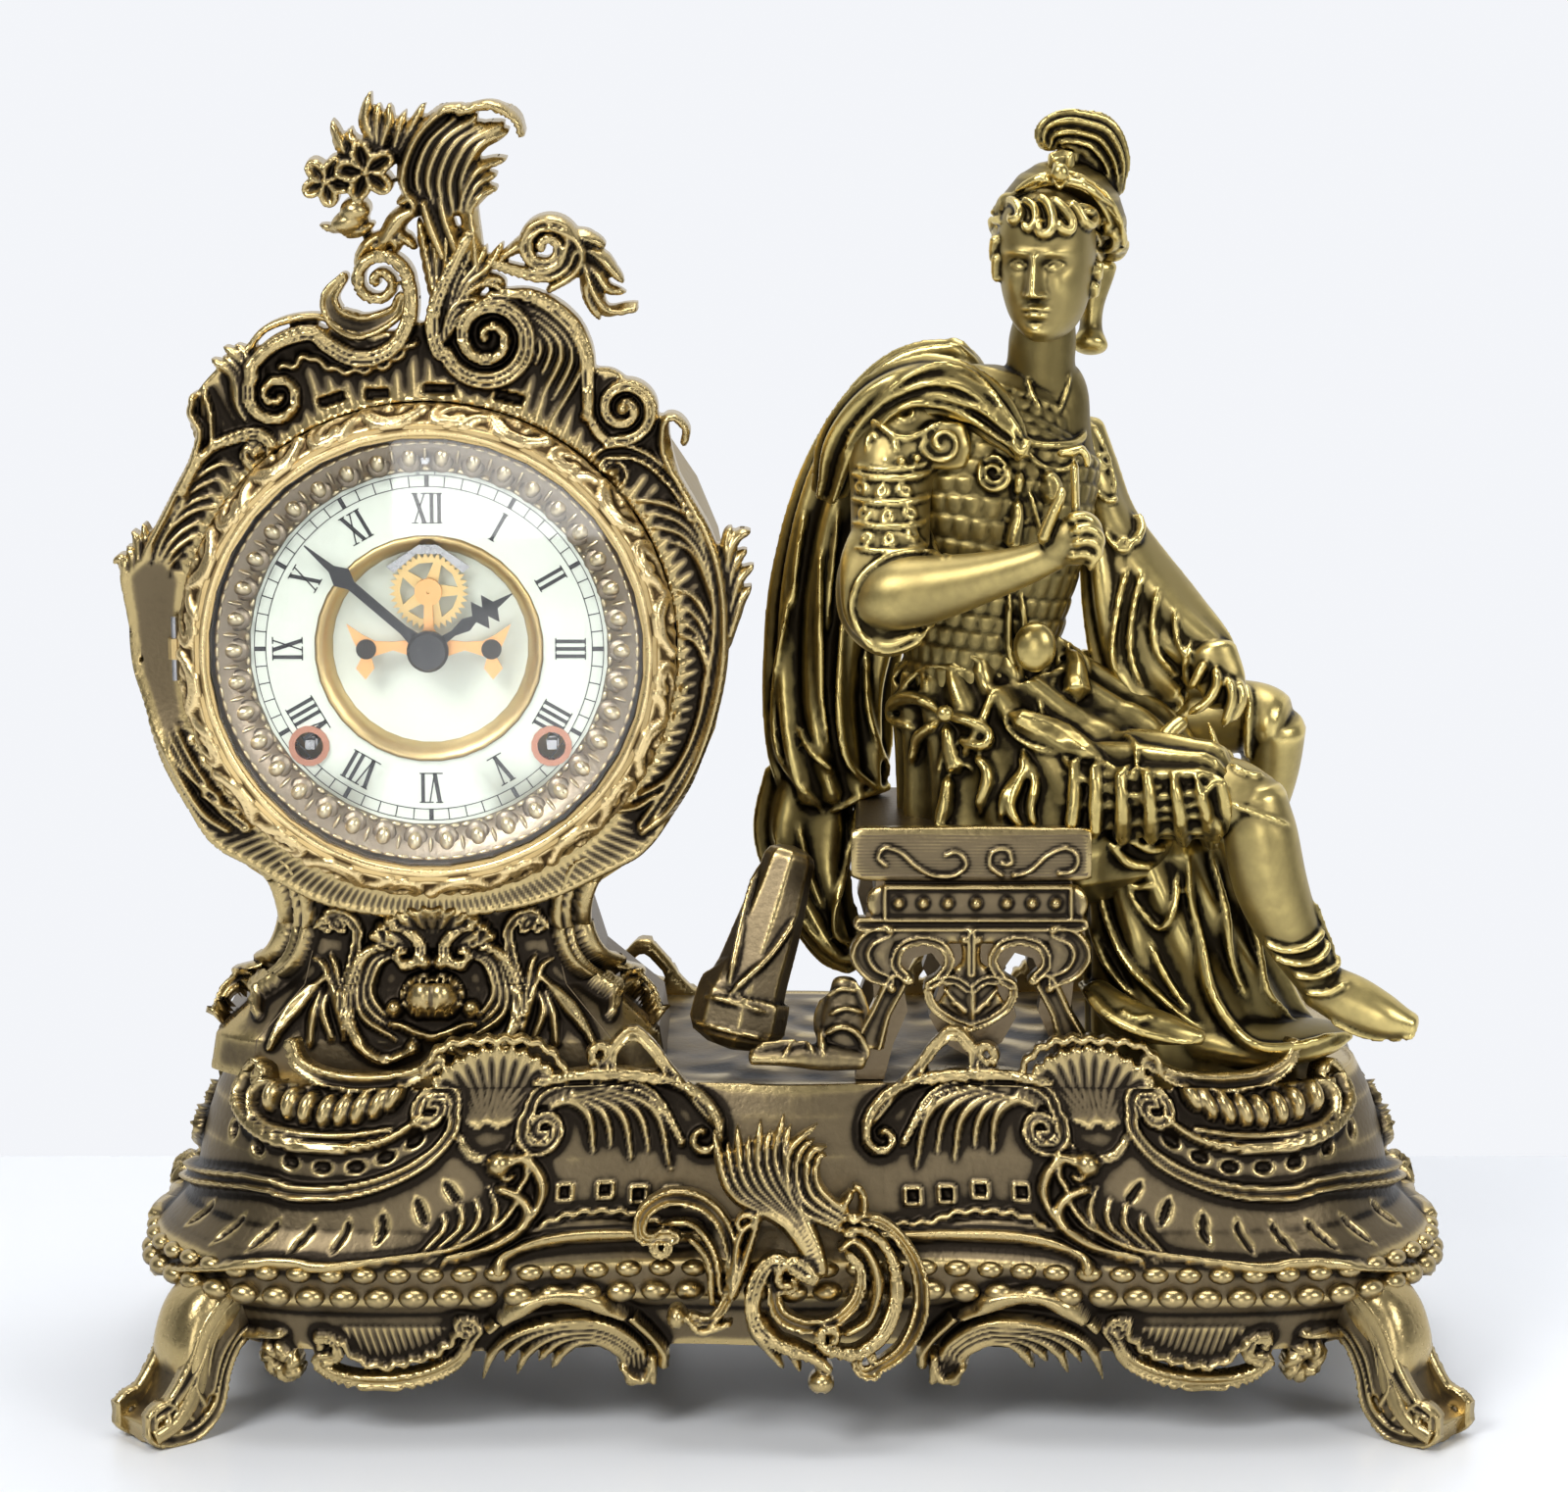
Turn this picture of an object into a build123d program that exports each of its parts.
from build123d import *
import math
import os

os.makedirs("parts", exist_ok=True)

# Figural mantel clock in cast metal and sheet brass, millimetres, front towards -Y, table at z = 0.
# The clock stands on the left of the base, a seated classical figure on the right.

# Overall sizes and clearances
base_width = 458
base_depth = 204
platform_height = 118
foot_height = 46
clock_x = -122
case_radius = 100
pedestal_rise = 47      # from the platform to the underside of the case
clock_height = platform_height + pedestal_rise + case_radius
casting_wall = 4
sheet = 1.5
gap = 0.3               # between curved pieces that only lie beside each other
run = 0.05              # radial play of a turning fit
overrun = 5             # how far cutting shapes pass through
lap = 1                 # how far joined pieces run into each other
ring_sides = 32         # flats round the case, the dial and the bezel
bar_sides = 8           # flats round arbors, pillars, screws and bosses

# Places along the depth of the clock, front is negative
case_back = 38
case_front_face = -50
case_front_thickness = 8
front_plate_y = -20
back_plate_y = 14
plate_thickness = 2
dial_face = -52.5
dial_thickness = 1.5
centre_face = -46


def scaled(shares, size):
    """Points from a table of shares of one size."""
    return [tuple(size * value for value in point) for point in shares]


def polar(radius, angle):
    """Point at a radius and an angle in degrees."""
    return (radius * math.cos(math.radians(angle)), radius * math.sin(math.radians(angle)))


def dial_plane(y, u=0, w=0):
    """Plane facing the viewer, u to the right and w up from the dial axis."""
    return Plane(origin=(clock_x + u, y, clock_height + w), x_dir=(1, 0, 0), z_dir=(0, -1, 0))


def keep(piece, name):
    """Label one finished piece and write its file."""
    piece.part.label = name
    export_step(piece.part, f"parts/{name}.step")


def solid_from(faces):
    """Closed solid from flat faces, each a list of corners."""
    return Solid(Shell([Face(Wire.make_polygon(corners)) for corners in faces]))


def faceted(rings, mode=Mode.ADD):
    """Solid skinned with triangles between rings of corners, closed at both ends."""
    faces = [rings[0], rings[-1]]
    for near, far in zip(rings, rings[1:]):
        for index, corner in enumerate(near):
            following = (index + 1) % len(near)
            faces.append([corner, near[following], far[following]])
            faces.append([corner, far[following], far[index]])
    add(solid_from(faces), mode=mode)


def turned(profile, sides=ring_sides, mode=Mode.ADD):
    """Ring with flats: a closed outline of (radius, y) points set round the dial axis."""
    rings = []
    for step in range(sides):
        u, w = polar(1, (step + 0.5) * 360 / sides)
        rings.append([Vector(clock_x + radius * u, y, clock_height + radius * w) for radius, y in profile])
    faces = []
    for near, far in zip(rings, rings[1:] + rings[:1]):
        for first in range(len(profile)):
            second = (first + 1) % len(profile)
            if profile[first][0] and profile[second][0]:
                faces.append([near[first], near[second], far[second], far[first]])
            elif profile[first][0]:
                faces.append([near[first], near[second], far[first]])
            elif profile[second][0]:
                faces.append([near[first], near[second], far[second]])
    add(solid_from(faces), mode=mode)


def rod(y_back, y_front, radius, u=0, w=0, mode=Mode.ADD, sides=bar_sides):
    """Bar or hole with flats along the depth, between two places."""
    with BuildSketch(dial_plane(y_back, u, w)) as outline:
        RegularPolygon(radius, sides, rotation=180 / sides)
    extrude(outline.sketch, amount=y_back - y_front, mode=mode)


def upright(x, y, z, radius, height, mode=Mode.ADD):
    """Upright bar or hole with flats, placed by its middle."""
    with BuildSketch(Plane.XY.offset(z - height / 2)) as outline:
        with Locations((x, y)):
            RegularPolygon(radius, bar_sides, rotation=180 / bar_sides)
    extrude(outline.sketch, amount=height, mode=mode)


def bore(radius, sides=bar_sides):
    """Corner radius of a hole whose flats stand at a given distance from its axis."""
    return radius / math.cos(math.pi / sides)


def slab(points, y_back, y_front, u=0, w=0, mode=Mode.ADD):
    """Flat plate with a straight-sided outline of (u, w) points."""
    with BuildSketch(dial_plane(y_back, u, w)) as outline:
        with BuildLine():
            Polyline(*points, close=True)
        make_face()
    extrude(outline.sketch, amount=y_back - y_front, mode=mode)


def rounded(points):
    """Outline with a middle point swung out on each stretch, so that corners read as curves."""
    near_weight, far_weight = 9 / 16, 1 / 16      # of the four points round each middle
    smooth = []
    for index, here in enumerate(points):
        before, after, beyond = (points[(index + step) % len(points)] for step in (-1, 1, 2))
        smooth.append(here)
        smooth.append(tuple(near_weight * (here[k] + after[k]) - far_weight * (before[k] + beyond[k])
                            for k in (0, 1)))
    return smooth


# Base: a hollow casting, open underneath, its plan a bowed rectangle
plan_shares = [
    (0, 0.93), (0.2, 0.9), (0.42, 0.97), (0.66, 1.0), (0.84, 0.93), (0.95, 0.7), (1.0, 0.4), (0.985, 0),
]
base_levels_shares = [                   # share of the platform height, share of the plan in x and in y
    (0.24, 0.9, 0.84), (0.38, 0.94, 0.88), (0.44, 0.985, 0.93), (0.51, 0.985, 0.93),
    (0.56, 0.94, 0.87), (0.76, 0.9, 0.82), (0.94, 0.86, 0.73), (1.0, 0.82, 0.67),
]


def plan_points(x_share, y_share, inset=0):
    """The bowed plan outline as a closed ring of points."""
    half_x = base_width / 2 * x_share - inset
    half_y = base_depth / 2 * y_share - inset
    quarter = [(half_x * x, half_y * y) for x, y in plan_shares]
    right = quarter + [(x, -y) for x, y in reversed(quarter[:-1])]
    left = [(-x, y) for x, y in reversed(right[1:-1])]
    return right + left


def plan_ring(height, x_share, y_share, inset=0):
    """One level of the base as a ring of corners."""
    return [Vector(x, y, height) for x, y in plan_points(x_share, y_share, inset)]


with BuildPart() as base_mass:
    faceted([plan_ring(platform_height * level, x, y) for level, x, y in base_levels_shares])

# Feet: splayed scrolls set on the corners, each carrying a flat toe
foot_width = 26
foot_turn = 40          # degrees off the side
foot_corner_shares = (0.853, 0.695)
foot_reach = 33
foot_outline_shares = [                  # outwards and upwards, of the reach and the foot height
    (-1.1, 1.0), (-0.1, 1.0), (0.28, 0.82), (0.42, 0.52), (0.62, 0.24), (1.0, 0.16), (1.0, 0.04), (0.88, 0),
    (0.3, 0), (0.02, 0.2), (-0.1, 0.48), (-0.42, 0.68), (-1.1, 0.74),
]


def foot(side, front):
    """One scroll foot at a corner, cut to the underside of the base."""
    corner = (side * base_width / 2 * foot_corner_shares[0], front * base_depth / 2 * foot_corner_shares[1])
    out = (side * math.cos(math.radians(foot_turn)), front * math.sin(math.radians(foot_turn)), 0)
    across = Vector(*out).cross(Vector(0, 0, 1))
    with BuildPart() as piece:
        with BuildSketch(Plane(origin=(*corner, 0), x_dir=out, z_dir=across)):
            with BuildLine():
                Polyline(*[(foot_reach * x, foot_height * y) for x, y in foot_outline_shares], close=True)
            make_face()
        extrude(amount=foot_width / 2, both=True)
        add(base_mass.part, mode=Mode.SUBTRACT)
    return piece


with BuildPart() as feet:
    for side in (-1, 1):
        for front in (-1, 1):
            add(foot(side, front).part)
keep(feet, "base_feet")

# Main scrolls of the casting as raised ridges: place along the plan points, share of the platform height
# and half width in ridge widths
ridge_half = 4
ridge_rise = 4.5
ridge_sink = 2.5
front_ridges_shares = [
    [(4.3, 0.95, 1), (3.6, 0.95, 1), (3.05, 0.95, 1)],
    [(2.2, 0.8, 0.8), (2.02, 0.73, 1), (2.02, 0.65, 1), (2.15, 0.6, 1), (2.5, 0.57, 0.8)],
    [(2.28, 0.32, 0.8), (2.08, 0.37, 1), (1.75, 0.39, 1), (1.45, 0.37, 1), (1.2, 0.31, 0.8)],
    [(3.5, 0.28, 0.8), (3.0, 0.28, 1), (2.5, 0.3, 0.8)],
]
all_round_ridges_shares = [
    [(6.2, 0.8, 0.6), (6.5, 0.7, 1), (5.6, 0.67, 1), (5.0, 0.68, 1), (4.5, 0.71, 1), (3.8, 0.71, 1),
     (3.4, 0.72, 1), (3.0, 0.77, 1), (2.75, 0.84, 0.8), (2.8, 0.92, 0.6)],
    [(4.9, 0.92, 0.6), (4.6, 0.87, 1), (4.0, 0.84, 1), (3.6, 0.83, 1), (3.1, 0.86, 0.8)],
    [(2.0, 0.87, 0.8), (2.06, 0.95, 1), (1.6, 0.96, 1), (1.18, 0.94, 1), (0.92, 0.83, 0.8)],
    [(2.45, 0.76, 0.8), (2.45, 0.86, 2), (2.45, 0.96, 3)],
]


def base_place(along, level, out):
    """Corner on the surface of the base at a place along its plan points, or standing out from it."""
    step = min(int(along), len(plan_shares) - 2)
    part = along - step
    x, y = ((1 - part) * plan_shares[step][k] + part * plan_shares[step + 1][k] for k in (0, 1))
    upper = next(k for k, shares in enumerate(base_levels_shares) if shares[0] >= level)
    low, high = base_levels_shares[upper - 1], base_levels_shares[upper]
    climb = (level - low[0]) / (high[0] - low[0])
    half_x, half_y = (size / 2 * (low[k] + climb * (high[k] - low[k])) + out
                      for size, k in ((base_width, 1), (base_depth, 2)))
    return Vector(x * half_x, y * half_y, platform_height * level)


def ridge(shares, x_sign, y_sign):
    """One raised scroll of three-cornered section, laid along the surface in one quarter of the base."""
    middles = [base_place(along, level, 0) for along, level, _ in shares]
    rings = []
    for index, (along, level, half) in enumerate(shares):
        ahead = middles[min(index + 1, len(middles) - 1)] - middles[max(index - 1, 0)]
        outward = (base_place(along, level, ridge_rise) - middles[index]).normalized()
        across = ahead.cross(outward).normalized() * (ridge_half * half)
        root = middles[index] - outward * ridge_sink
        corners = [root - across, root + across, middles[index] + outward * ridge_rise]
        rings.append([Vector(x_sign * corner.X, y_sign * corner.Y, corner.Z) for corner in corners])
    faceted(rings)


# The hollow shell itself
with BuildPart() as base_room:
    drops = [-overrun, *[0] * (len(base_levels_shares) - 3), -casting_wall, -casting_wall]
    faceted([plan_ring(platform_height * level + drop, x, y, casting_wall)
             for (level, x, y), drop in zip(base_levels_shares, drops)])

with BuildPart() as base_shell:
    add(base_mass.part)
    for x_sign in (-1, 1):
        for y_sign in (-1, 1):
            for shares in all_round_ridges_shares + (front_ridges_shares if y_sign < 0 else []):
                ridge(shares, x_sign, y_sign)
    add(base_room.part, mode=Mode.SUBTRACT)
    add(feet.part, mode=Mode.SUBTRACT)
keep(base_shell, "base_shell")

# Pierced swirl cartouche at the middle of the front, leaning back with the casting
cartouche_lean = 15
cartouche_thickness = 9
cartouche_y = -101.5
cartouche_z = 19
cartouche_size = 48
cartouche_outline_shares = [
    (0, 0), (0.5, 0.08), (0.92, 0.34), (1.0, 0.8), (0.8, 1.2), (0.55, 1.45), (0.4, 1.8), (0, 1.92), (-0.4,
                                                                                                     1.8),
    (-0.55, 1.45), (-0.85, 1.2), (-1.0, 0.75), (-0.85, 0.3), (-0.45, 0.06),
]
cartouche_hole_shares = [(0.1, 0.55), (0.45, 0.65), (0.5, 0.95), (0.2, 1.15), (-0.2, 1.05), (-0.3, 0.75)]
cartouche_tilt = math.radians(cartouche_lean)
with BuildPart() as cartouche:
    with BuildSketch(Plane(origin=(0, cartouche_y, cartouche_z), x_dir=(1, 0, 0),
                           z_dir=(0, -math.cos(cartouche_tilt), math.sin(cartouche_tilt)))) as outline:
        with BuildLine():
            Polyline(*rounded(scaled(cartouche_outline_shares, cartouche_size)), close=True)
        make_face()
        with BuildLine():
            Polyline(*rounded(scaled(cartouche_hole_shares, cartouche_size)), close=True)
        make_face(mode=Mode.SUBTRACT)
    extrude(outline.sketch, amount=-cartouche_thickness)
    add(base_shell.part, mode=Mode.SUBTRACT)
keep(cartouche, "front_cartouche")

# Pedestal: hollow casting under the clock, waisted, standing on the platform
# Levels by height above the platform, half width and half depth, of the case radius
pedestal_levels_shares = [
    (0, 0.78, 0.5), (0.12, 0.76, 0.5), (0.3, 0.56, 0.43), (0.5, 0.5, 0.41), (0.68, 0.56, 0.43), (0.8, 0.72,
                                                                                                 0.44),
]
pedestal_plan_shares = [
    (-0.8, -1), (0.8, -1), (1, -0.6), (1, 0.7), (0.9, 1), (-0.9, 1), (-1, 0.7), (-1, -0.6),
]
pedestal_y = -4
pendulum_slot_width = 54
pendulum_slot_front = 12


def pedestal_ring(level, half_x, half_y, inset=0):
    """One level of the pedestal as a ring of corners."""
    wide, deep = case_radius * half_x - inset, case_radius * half_y - inset
    height = platform_height + case_radius * level
    return [Vector(clock_x + x * wide, pedestal_y + y * deep, height) for x, y in pedestal_plan_shares]


with BuildPart() as drum_mass:
    rod(case_back + overrun, case_front_face - overrun, case_radius + gap, sides=ring_sides)

with BuildPart() as pedestal_room:
    faceted([pedestal_ring(*shares, casting_wall) for shares in pedestal_levels_shares])


# Round case: front casting, sheet-brass can with a rear flange, and the pendulum slot in its floor
case_outline_shares = [                  # right side from the crest down, then left side up
    (0.1, 1.13), (0.3, 1.19), (0.46, 1.09), (0.52, 0.93), (0.63, 0.975), (0.75, 0.87), (0.82, 0.76), (0.84,
                                                                                                      0.62),
    (0.95, 0.33), (0.99, 0.06), (0.96, -0.2), (0.9, -0.42), (0.81, -0.6), (0.74, -0.72), (0.6, -0.78),
    (0.35, -0.9), (0, -0.94), (-0.35, -0.9), (-0.6, -0.76), (-0.74, -0.68), (-0.82, -0.56), (-0.92, -0.36),
    (-0.98, -0.1), (-0.98, 0.22), (-0.86, 0.5), (-0.78, 0.68), (-0.8, 0.83), (-0.73, 0.96), (-0.6, 1.04),
    (-0.36, 1.1), (-0.12, 1.08),
]
dial_opening = 76
bezel_outer = 81
bezel_inner = 72.5
case_front_back = case_front_face + case_front_thickness
mount_radius = 86
mount_boss = 4
mount_angles = (35, 145, 215, 325)
screw_radius = 1.6
hinge_radius = 2.4
hinge_pin_radius = 1.2
hinge_stand = 0.2       # knuckles clear of the face they turn beside
bezel_hinge_reach = 4.2
hinge_y = case_front_face - hinge_radius - hinge_stand
hinge_x = -(bezel_outer + bezel_hinge_reach)
knuckle = 7             # length of each hinge knuckle

with BuildPart() as case_front:
    slab(rounded(scaled(case_outline_shares, case_radius)), case_front_back, case_front_face)
    rod(case_front_back + overrun, case_front_face - overrun, dial_opening, mode=Mode.SUBTRACT,
        sides=ring_sides)
    for angle in mount_angles:
        u, w = polar(mount_radius, angle)
        rod(case_front_back + overrun, case_front_back - case_front_thickness / 2, screw_radius, u, w,
            mode=Mode.SUBTRACT)
    for level in (-knuckle - gap, knuckle + gap):
        upright(clock_x + hinge_x, hinge_y, clock_height + level, hinge_radius, knuckle)
        with Locations((clock_x + hinge_x, (hinge_y + case_front_face) / 2, clock_height + level)):
            Box(hinge_radius, case_front_face - hinge_y + gap, knuckle)
        upright(clock_x + hinge_x, hinge_y, clock_height + level, hinge_pin_radius, knuckle, Mode.SUBTRACT)
keep(case_front, "case_front")

with BuildPart() as pedestal:
    faceted([pedestal_ring(*shares) for shares in pedestal_levels_shares])
    add(drum_mass.part, mode=Mode.SUBTRACT)
    add(pedestal_room.part, mode=Mode.SUBTRACT)
    add(case_front.part, mode=Mode.SUBTRACT)
keep(pedestal, "pedestal")

shell_u = -3                             # its root, from the dial axis
shell_places_shares = (-0.89, -0.38)    # of the case radius: its root, and its back from the pedestal
shell_size = 17
shell_thickness = 14
shell_rays = 7
shell_tilt = 18         # degrees between the shell's edge and level
shell_w = case_radius * shell_places_shares[0]
shell_back = pedestal_y + case_radius * shell_places_shares[1]
with BuildPart() as pedestal_shell:
    points = [(0, 0)]
    for ray in range(2 * shell_rays + 1):
        reach = shell_size * (1 if ray % 2 else 0.86)
        points.append(polar(reach, -shell_tilt - (180 - 2 * shell_tilt) * ray / (2 * shell_rays)))
    slab(points, shell_back, shell_back - shell_thickness, shell_u, shell_w)
    for other in (pedestal, case_front):
        add(other.part, mode=Mode.SUBTRACT)
keep(pedestal_shell, "pedestal_shell")

door_opening = 72
door_radius = 77
door_hinge_reach = 3
door_hinge_x = door_radius + door_hinge_reach
door_y = case_back + gap
door_hinge_y = case_back + hinge_radius + hinge_stand
slot_margin = 2
slot_back = case_back - sheet - slot_margin

with BuildPart() as case_drum:
    rod(case_back, case_front_back, case_radius, sides=ring_sides)
    rod(case_back - sheet, case_front_back - overrun, case_radius - sheet, mode=Mode.SUBTRACT,
        sides=ring_sides)
    rod(case_back + overrun, case_back - overrun, door_opening, mode=Mode.SUBTRACT, sides=ring_sides)
    with Locations((clock_x, (pendulum_slot_front + slot_back) / 2, clock_height - case_radius)):
        Box(pendulum_slot_width, slot_back - pendulum_slot_front, case_radius / 4, mode=Mode.SUBTRACT)
    for level in (-knuckle - gap, knuckle + gap):
        upright(clock_x + door_hinge_x, door_hinge_y, clock_height + level, hinge_radius, knuckle)
        with Locations((clock_x + door_hinge_x, (door_hinge_y + case_back) / 2, clock_height + level)):
            Box(hinge_radius, door_hinge_y - case_back + gap, knuckle)
        upright(clock_x + door_hinge_x, door_hinge_y, clock_height + level, hinge_pin_radius, knuckle,
                Mode.SUBTRACT)
keep(case_drum, "case_drum")

knob_radius = 4
knob_length = 8
with BuildPart() as rear_door:
    rod(door_y + sheet, door_y, door_radius, sides=ring_sides)
    upright(clock_x + door_hinge_x, door_hinge_y, clock_height, hinge_radius, knuckle)
    with Locations((clock_x + door_radius + (door_hinge_reach - lap) / 2, door_y + sheet / 2, clock_height)):
        Box(door_hinge_reach + lap, sheet, knuckle)
    upright(clock_x + door_hinge_x, door_hinge_y, clock_height, bore(hinge_pin_radius + run), knuckle,
            Mode.SUBTRACT)
    knob_u = -door_radius + 3 * knob_radius
    knob_end = door_y + sheet + knob_length
    rod(knob_end, door_y + sheet / 2, knob_radius / 2, knob_u)
    rod(knob_end, knob_end - knob_length / 2, knob_radius, knob_u, sides=2 * bar_sides)
keep(rear_door, "rear_door")

with BuildPart() as hinge_pins:
    for u, y in ((hinge_x, hinge_y), (door_hinge_x, door_hinge_y)):
        upright(clock_x + u, y, clock_height, hinge_pin_radius, 3 * knuckle + 2 * gap)
keep(hinge_pins, "hinge_pins")

# Bezel: cast ring with a rebate for the glass, and a knuckle at nine o'clock
bezel_front = -67
glass_front = -64
glass_thickness = 2.5
glass_radius = 75
glass_bevel = 3
bezel_shoulder = 4
bezel_side = 5
bezel_lip = 1
with BuildPart() as bezel:
    turned([
        (bezel_inner, case_front_face - gap), (bezel_outer, case_front_face - gap), (bezel_outer,
                                                                                     bezel_front + bezel_side),
        (bezel_outer - bezel_shoulder, bezel_front), (bezel_inner, bezel_front + bezel_lip), (bezel_inner,
                                                                                              glass_front),
        (glass_radius + gap, glass_front), (glass_radius + gap, glass_front + glass_thickness),
        (bezel_inner, glass_front + glass_thickness),
    ])
    upright(clock_x + hinge_x, hinge_y, clock_height, hinge_radius, knuckle)
    with Locations((clock_x + hinge_x + (bezel_hinge_reach + lap) / 2, hinge_y, clock_height)):
        Box(bezel_hinge_reach + lap, 2 * hinge_radius - lap, knuckle)
    upright(clock_x + hinge_x, hinge_y, clock_height, bore(hinge_pin_radius + run), knuckle, Mode.SUBTRACT)
keep(bezel, "bezel")

with BuildPart() as bezel_glass:
    turned([
        (0, glass_front + glass_thickness), (glass_radius, glass_front + glass_thickness),
        (glass_radius, glass_front + glass_thickness / 2), (glass_radius - glass_bevel, glass_front), (0,
                                                                                                       glass_front),
    ])
keep(bezel_glass, "bezel_glass")

# Dial: egg-and-dart sash, porcelain chapter ring, brass inner ring, recessed centre, grommets
sash_outer = 71
chapter_outer = 60
chapter_inner = 38.5
centre_radius = 33
shelf = 4               # width of the ledge that carries the chapter ring
ledge = 1               # thickness of that ledge and of the rings' walls
ring_lip = 1.5
dial_back = dial_face + dial_thickness
sash_front = -60
winding_u = 40.8
winding_w = -33
grommet_outer = 6.9
grommet_bore = 4.8
grommet_hole = 5.6
regulator_w = 64
regulator_radius = 1.5
escape_w = 19.2
pallet_w = 33.5
post_u = 21
post_radius = 2
arbor_opening = 1.6     # in the dial, round the escape and pallet arbors
pallet_recess = 3.8     # bay in the inner ring for the head of the pallets
pallet_recess_depth = 3.5

with BuildPart() as dial_sash:
    turned([
        (chapter_outer + run, dial_face), (sash_outer - ledge, sash_front), (sash_outer, sash_front),
        (sash_outer, case_front_back), (mount_radius - 3 * mount_boss / 2, case_front_back),
        (mount_radius - 3 * mount_boss / 2, case_front_back + ledge), (sash_outer - ledge,
                                                                       case_front_back + ledge),
        (sash_outer - ledge, dial_back + ledge), (chapter_outer - shelf, dial_back + ledge),
        (chapter_outer - shelf, dial_back),
        (chapter_outer + run, dial_back),
    ])
    rod(case_front_back, sash_front - overrun, bore(regulator_radius + run), 0, regulator_w,
        mode=Mode.SUBTRACT)
    for side in (-1, 1):
        rod(case_front_back, dial_back, bore(grommet_hole + run, 2 * bar_sides), side * winding_u,
            winding_w, mode=Mode.SUBTRACT,
            sides=2 * bar_sides)
keep(dial_sash, "dial_sash")

with BuildPart() as dial_ring:
    rod(dial_back, dial_face, chapter_outer, sides=ring_sides)
    rod(dial_back + overrun, dial_face - overrun, chapter_inner, mode=Mode.SUBTRACT, sides=ring_sides)
    for side in (-1, 1):
        rod(dial_back + overrun, dial_face - overrun, bore(grommet_hole + run, 2 * bar_sides),
            side * winding_u, winding_w,
            mode=Mode.SUBTRACT, sides=2 * bar_sides)
keep(dial_ring, "dial_ring")

with BuildPart() as inner_ring:
    turned([
        (chapter_inner - gap, dial_face - ledge), (chapter_inner - gap, dial_back),
        (chapter_inner + shelf, dial_back), (chapter_inner + shelf, dial_back + ledge),
        (chapter_inner - gap, dial_back + ledge), (centre_radius + ledge, centre_face + dial_thickness),
        (centre_radius, centre_face + dial_thickness), (centre_radius, centre_face),
        (chapter_inner - gap - ring_lip, dial_face - ledge),
    ])
    rod(centre_face + overrun, dial_face - overrun, arbor_opening, 0, pallet_w, mode=Mode.SUBTRACT)
    rod(centre_face - pallet_recess_depth, dial_face - overrun, pallet_recess, 0, pallet_w,
        mode=Mode.SUBTRACT,
        sides=2 * bar_sides)
keep(inner_ring, "dial_inner_ring")

hour_pipe_outer = 2.6
with BuildPart() as dial_centre:
    rod(centre_face + dial_thickness, centre_face, centre_radius - run, sides=ring_sides)
    for place, radius in (((0, 0), hour_pipe_outer + 3 * gap), ((0, escape_w), arbor_opening),
                          ((0, pallet_w), arbor_opening), ((-post_u, 0), bore(post_radius + run)),
                          ((post_u, 0), bore(post_radius + run))):
        rod(centre_face + overrun, centre_face - overrun, radius, *place, mode=Mode.SUBTRACT)
keep(dial_centre, "dial_centre")

with BuildPart() as grommets:
    for side in (-1, 1):
        place = (side * winding_u, winding_w)
        rod(dial_face, dial_face - ledge, grommet_outer, *place, sides=2 * bar_sides)
        rod(dial_back + ledge, dial_face - ledge / 2, grommet_hole, *place, sides=2 * bar_sides)
        rod(dial_back + overrun, dial_face - overrun, grommet_bore, *place, mode=Mode.SUBTRACT,
            sides=2 * bar_sides)
keep(grommets, "winding_grommets")

# Movement: two skeleton plates on six pillars
plate_half = 64
plate_top = 46
plate_bottom = -53
plate_corner = 10
pivot_radius = 0.8
arbor_radius = 1.2
centre_arbor_radius = 1.5
escape_arbor = 0.7
escape_pivot = 0.5
pallet_arbor = 1
winding_arbor_radius = 2.3
pillar_radius = 3
pillar_shares = [                        # of half the plate
    (-0.89, 0.594), (0.89, 0.594), (-0.89, 0.094), (0.89, 0.094), (-0.172, -0.734), (0.172, -0.734),
]
front_back = front_plate_y + plate_thickness      # inner face of the front plate

# Wheel trains, tooth counts and modules
great_teeth, great_module = 60, 0.9
second_teeth, leaf_count = 36, 12
centre_teeth, third_pinion, centre_module = 60, 6, 0.59
third_teeth, escape_pinion, third_module = 78, 6, 0.45
minute_teeth, minute_module = 36, 0.5
hour_teeth, hour_module = 48, 0.4
pin_teeth, fly_pinion, pin_module = 48, 6, 0.6
mesh_share = 0.35       # extra centre distance, of the module
tip_share, leaf_share = 0.8, 0.7        # height over the pitch circle, of the module


def centres(teeth, leaves, module):
    """Distance between two arbors whose wheel and pinion mesh."""
    return module * (teeth + leaves) / 2 + module * mesh_share


def meeting(first, first_reach, second, second_reach, side):
    """Point at given distances from two arbors, on one side of the line between them."""
    du, dw = second[0] - first[0], second[1] - first[1]
    span = math.hypot(du, dw)
    along = (span ** 2 + first_reach ** 2 - second_reach ** 2) / (2 * span)
    off = side * math.sqrt(first_reach ** 2 - along ** 2)
    return (first[0] + (along * du - off * dw) / span, first[1] + (along * dw + off * du) / span)


def bearing(first, second):
    """Direction in degrees from one arbor to another."""
    return math.degrees(math.atan2(second[1] - first[1], second[0] - first[0]))


def follow(phase, teeth, other_teeth, direction):
    """Phase in degrees of a wheel whose gap meets the first wheel's tooth."""
    return direction + 180 + 180 / other_teeth - (phase - direction) * teeth / other_teeth


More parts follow.
